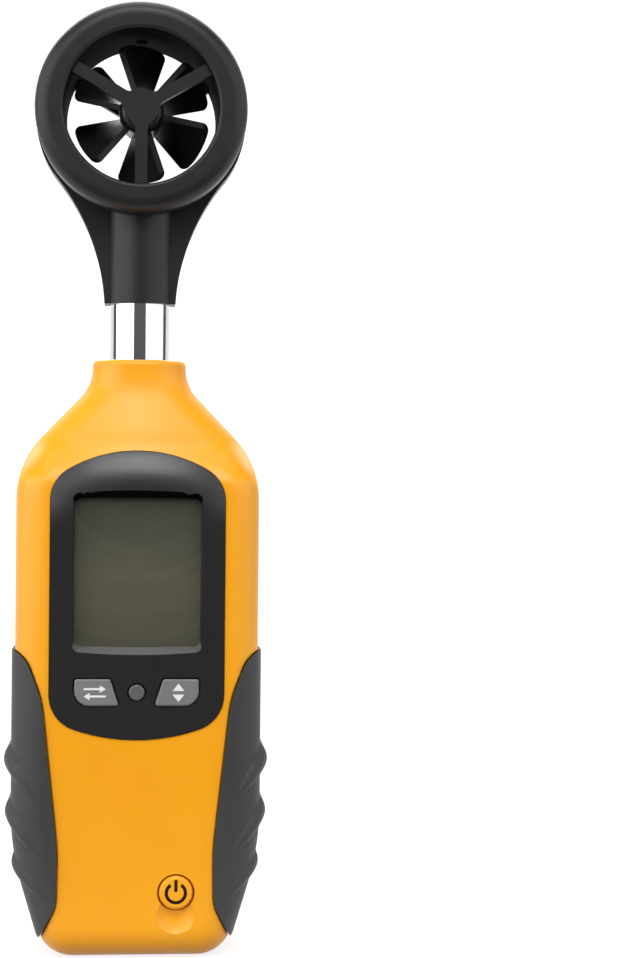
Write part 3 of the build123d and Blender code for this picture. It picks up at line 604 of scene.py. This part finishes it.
# The drilled floor of the bore is dull, and its turning marks show as fans of light and shade.
bore_floor, floor_shader = new_finish("bore_floor", Metallic=0.6)
floor_tree = bore_floor.node_tree
floor_across, _, floor_up = placed(floor_tree)
floor_rise = work_out(floor_tree, "SUBTRACT", floor_up, insert_up)
angle = work_out(floor_tree, "ARCTAN2", floor_across, floor_rise)
fan_count = 5
wave = work_out(floor_tree, "SINE", work_out(floor_tree, "MULTIPLY", angle, fan_count / 2))
fans = work_out(floor_tree, "ABSOLUTE", wave)
shade_between(bore_floor, floor_shader, fans, (0.055, 0.014, 0.004), (0.26, 0.11, 0.03), 0.2, 0.9)
polish_between(bore_floor, floor_shader, surface_noise(bore_floor, 0.0004), 0.4, 0.55)
insert_piece.data.materials.append(bore_floor)
for face in insert_piece.data.polygons:
    out = Vector((face.center.x, 0, face.center.z - insert_up))
    if out.length < thread_crest and face.normal.y > 0.7:
        face.material_index = 1
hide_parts("tripod_insert")
steel = metal("bright_steel", (0.50, 0.50, 0.50), (0.62, 0.62, 0.62), 0.22, 0.34)
dress(steel, "case_screws", "stem_clip", "impeller_shaft")
lacquer = moulded_plastic(
    "red_lacquer", (0.26, 0.010, 0.010), (0.40, 0.022, 0.018), 0.12, 0.2, 0.00006,
)
bronze = metal("dark_bronze", (0.085, 0.068, 0.052), (0.16, 0.13, 0.10), 0.28, 0.4)


def cross_recess(x, z, top, width, slot, deep):
    """Cutter for a cross recess that narrows downwards, its mouth a little above the head."""
    mesh = bmesh.new()
    for long_x, long_z in ((width, slot), (slot, width)):
        block = bmesh.ops.create_cube(mesh, size=1)["verts"]
        bmesh.ops.scale(mesh, verts=block, vec=(long_x, 2 * deep, long_z))
        inner = [point for point in block if point.co.y < 0]
        bmesh.ops.scale(mesh, verts=inner, vec=(0.45, 1, 0.45))
        bmesh.ops.translate(mesh, verts=block, vec=(x, top, z))
    bmesh.ops.recalc_face_normals(mesh, faces=mesh.faces[:])
    data = bpy.data.meshes.new("recess")
    mesh.to_mesh(data)
    mesh.free()
    cutter = bpy.data.objects.new("recess", data)
    bpy.context.collection.objects.link(cutter)
    return cutter


def pan_head_screw(name, x, z, tip, top, radius, height, shank, material):
    """Pan-head screw with a cross recess, its head towards +Y."""
    seat = top - height
    profile = [
        (0, tip), (shank, tip), (shank, seat), (radius, seat), (radius, seat + height * 0.45),
        (radius * 0.94, seat + height * 0.72), (radius * 0.78, seat + height * 0.90),
        (radius * 0.45, top - height * 0.03), (0, top),
    ]
    screw = settle(name, turned(profile, x, z, 40), material, "meter")
    cutter = cross_recess(x, z, top, radius * 1.1, radius * 0.30, height * 0.6)
    cut = screw.modifiers.new("recess", "BOOLEAN")
    cut.operation = "DIFFERENCE"
    cut.solver = "EXACT"
    cut.use_self = True
    cut.object = cutter
    bpy.context.view_layer.update()
    shaped = screw.evaluated_get(bpy.context.evaluated_depsgraph_get())
    finished = bpy.data.meshes.new_from_object(shaped)
    screw.modifiers.clear()
    screw.data = finished
    bpy.data.objects.remove(cutter)
    return screw


seal_low, seal_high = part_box("sealed_screw")
seal_x = (seal_low[0] + seal_high[0]) / 2
seal_z = (seal_low[2] + seal_high[2]) / 2
seal_radius = (seal_high[0] - seal_low[0]) / 2
red_screw = pan_head_screw(
    "red_sealed_screw", seal_x, seal_z, seal_low[1], seal_high[1],
    seal_radius, 0.0013, 0.0011, lacquer,
)
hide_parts("sealed_screw")

pair_low, pair_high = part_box("head_screws")
pair_radius = (pair_high[2] - pair_low[2]) / 2
for side in (-1, 1):
    head_screw = pan_head_screw(
        "head_screw_right" if side > 0 else "head_screw_left",
        side * (pair_high[0] - pair_radius), pair_low[2] + pair_radius, pair_low[1], pair_high[1],
        pair_radius, 0.0011, 0.0009, bronze,
    )
    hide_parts("head_screws")


# ---------------------------------------------------------------- stem
# A polished, chromium-plated brass tube joins the case and the vane head. The collar of the
# case and the neck of the head are clamped round its ends, and the vane's cable runs in it.

chrome = metal("chromium_plate", (0.67, 0.67, 0.68), (0.71, 0.71, 0.72), 0.03, 0.07)
dress(chrome, "stem_tube")


# ---------------------------------------------------------------- vane head
# Two black glass-filled nylon shells are screwed together round the tube. Each has a
# three-armed spider, whose hub carries a bearing of the wheel.

nylon = moulded_plastic(
    "black_nylon", (0.0095, 0.0095, 0.010), (0.0130, 0.0130, 0.0135), 0.36, 0.46, 0.00004,
    Specular_IOR_Level=0.36,
)
dress(nylon, "head_front_shell", "head_rear_shell")

# The wall of the bore is matt, and darker than the shells: its darker colour is painted shade
# inside the bore.
bore_matt_painted_shade = moulded_plastic(
    "bore_matt_painted_shade", (0.004, 0.004, 0.004), (0.006, 0.006, 0.006), 0.8, 0.9, 0.00004,
    Specular_IOR_Level=0.04,
)
wheel_low, wheel_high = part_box("impeller")
wheel_up = (wheel_low[2] + wheel_high[2]) / 2
bore_near = wheel_high[0] - 0.0004
bore_far = wheel_high[0] + 0.0040


def on_bore_wall(face):
    """Whether a face of the head looks inwards over the wheel."""
    out = Vector((face.center.x, 0, face.center.z - wheel_up))
    inwards = face.normal.dot(out) < -0.9 * out.length
    return inwards and bore_near < out.length < bore_far


for shell in ("head_front_shell", "head_rear_shell"):
    second_finish(shell, bore_matt_painted_shade, on_bore_wall)


# ---------------------------------------------------------------- impeller
# Six twisted blades moulded in one with their hub, on a steel pin, with the ring magnet
# that the sensor counts pressed on behind.

vane_plastic = moulded_plastic(
    "vane_plastic", (0.010, 0.010, 0.010), (0.014, 0.014, 0.014), 0.34, 0.42, 0.00002,
)
dress(vane_plastic, "impeller")
magnet_grey = metal("magnet_grey", (0.10, 0.10, 0.11), (0.15, 0.15, 0.16), 0.35, 0.5)
dress(magnet_grey, "impeller_magnet")


# ---------------------------------------------------------------- floor, light and camera
# A pale sweep of paper lies under the meter and curves up behind it. Soft boxes light the
# meter from both sides, from the front, from above and from behind.

shadow_reach = 0.12
plain_from = 0.60
near_white = 0.80
far_white = 0.97


def pale_sweep():
    """Floor and backdrop that show white to the camera and keep the meter's shadow."""
    material, shader = new_finish("pale_sweep", Roughness=0.9)
    tree = material.node_tree
    shader.inputs["Base Color"].default_value = (0.25, 0.25, 0.25, 1)
    path = tree.nodes.new("ShaderNodeLightPath")
    seen = work_out(tree, "MAXIMUM", path.outputs["Is Camera Ray"], path.outputs["Is Glossy Ray"])
    either = work_out(tree, "MAXIMUM", seen, path.outputs["Is Transmission Ray"])
    white = tree.nodes.new("ShaderNodeEmission")
    across, deep, _ = placed(tree)
    away = distance_from(tree, across, deep, 0)
    level = ramp_between(tree, away, shadow_reach, plain_from, near_white, far_white, True)
    tree.links.new(level, white.inputs["Strength"])
    both = tree.nodes.new("ShaderNodeAddShader")
    tree.links.new(shader.outputs["BSDF"], both.inputs[0])
    tree.links.new(white.outputs["Emission"], both.inputs[1])
    mix = tree.nodes.new("ShaderNodeMixShader")
    tree.links.new(either, mix.inputs["Fac"])
    tree.links.new(shader.outputs["BSDF"], mix.inputs[1])
    tree.links.new(both.outputs["Shader"], mix.inputs[2])
    tree.links.new(mix.outputs["Shader"], tree.nodes["Material Output"].inputs["Surface"])
    return material


sweep_half = 2.5
sweep_front = -0.12
sweep_back = 0.9
bend_radius = 0.6
wall_height = 1.6
sweep = bmesh.new()
sweep_line = [sweep.verts.new((-sweep_half, deep, 0)) for deep in (sweep_front, sweep_back)]
sweep.edges.new(sweep_line)
bend = bmesh.ops.spin(
    sweep, geom=[sweep_line[1]], cent=(-sweep_half, sweep_back, bend_radius), axis=(1, 0, 0),
    angle=math.pi / 2, steps=16,
)
bend_end = [part for part in bend["geom_last"] if isinstance(part, bmesh.types.BMVert)]
wall = bmesh.ops.extrude_vert_indiv(sweep, verts=bend_end)
bmesh.ops.translate(sweep, verts=wall["verts"], vec=(0, 0, wall_height))
drawn = bmesh.ops.extrude_edge_only(sweep, edges=sweep.edges[:])["geom"]
far_side = [part for part in drawn if isinstance(part, bmesh.types.BMVert)]
bmesh.ops.translate(sweep, verts=far_side, vec=(2 * sweep_half, 0, 0))
bmesh.ops.recalc_face_normals(sweep, faces=sweep.faces[:])
sweep_data = bpy.data.meshes.new("sweep")
sweep.to_mesh(sweep_data)
sweep.free()
for face in sweep_data.polygons:
    face.use_smooth = True
sweep_data.materials.append(pale_sweep())
backdrop = bpy.data.objects.new("sweep", sweep_data)
bpy.context.collection.objects.link(backdrop)

scene = bpy.context.scene
scene.view_settings.view_transform = "Standard"
world = bpy.data.worlds.new("studio")
scene.world = world
world.use_nodes = True
room_light = 0.14
sky = world.node_tree.nodes["Background"]
sky.inputs["Color"].default_value = (1, 1, 1, 1)
sky_path = world.node_tree.nodes.new("ShaderNodeLightPath")
sky_level = world.node_tree.nodes.new("ShaderNodeMapRange")
sky_level.inputs["To Min"].default_value = room_light
sky_level.inputs["To Max"].default_value = 1.0
world.node_tree.links.new(sky_path.outputs["Is Camera Ray"], sky_level.inputs["Value"])
world.node_tree.links.new(sky_level.outputs["Result"], sky.inputs["Strength"])


def soft_box(name, place, aim, width, height, power):
    """Rectangular studio lamp at a place, turned to face the aim."""
    data = bpy.data.lights.new(name, "AREA")
    data.shape = "RECTANGLE"
    data.size = width
    data.size_y = height
    data.energy = power
    lamp = bpy.data.objects.new(name, data)
    lamp.location = place
    lamp.visible_camera = False
    lamp.rotation_euler = (Vector(aim) - Vector(place)).to_track_quat("-Z", "Y").to_euler()
    bpy.context.collection.objects.link(lamp)


middle = Vector((0, 0, (cad_box[0][2] + cad_box[1][2]) / 2))
soft_box("left_box", (-0.93, -0.49, 0.46), middle, 1.86, 1.0, 13.8)
soft_box("right_box", (0.93, -0.49, 0.46), middle, 1.86, 1.0, 7.8)
soft_box("front_top_box", (0.0, -0.75, 0.95), middle, 0.5, 0.5, 6.2)
soft_box("overhead_box", (0.0, 0.15, 1.25), middle, 0.9, 0.7, 5.5)
soft_box("back_top_box", (0.0, 0.85, 0.95), middle, 1.2, 0.6, 13.0)

# The lens stands level with the middle of the meter and looks a little past it to its right
# and slightly down, so that the meter is on the left of the frame and leans a little.
eye_distance = 0.483
eye_level = 0.1064
eye_turn = math.radians(4.873)
eye_tilt = math.radians(-0.1077)
eye_lean = math.radians(0.5)
eye = bpy.data.cameras.new("eye")
eye.sensor_fit = "VERTICAL"
eye.sensor_height = 36.0
eye.lens = 80.0
eye.clip_start = 0.01
camera = bpy.data.objects.new("eye", eye)
camera.location = (0, -eye_distance, eye_level)
camera.rotation_euler = (math.radians(90) + eye_tilt, 0, -eye_turn)
camera.rotation_euler.rotate_axis("Z", eye_lean)
bpy.context.collection.objects.link(camera)
scene.camera = camera
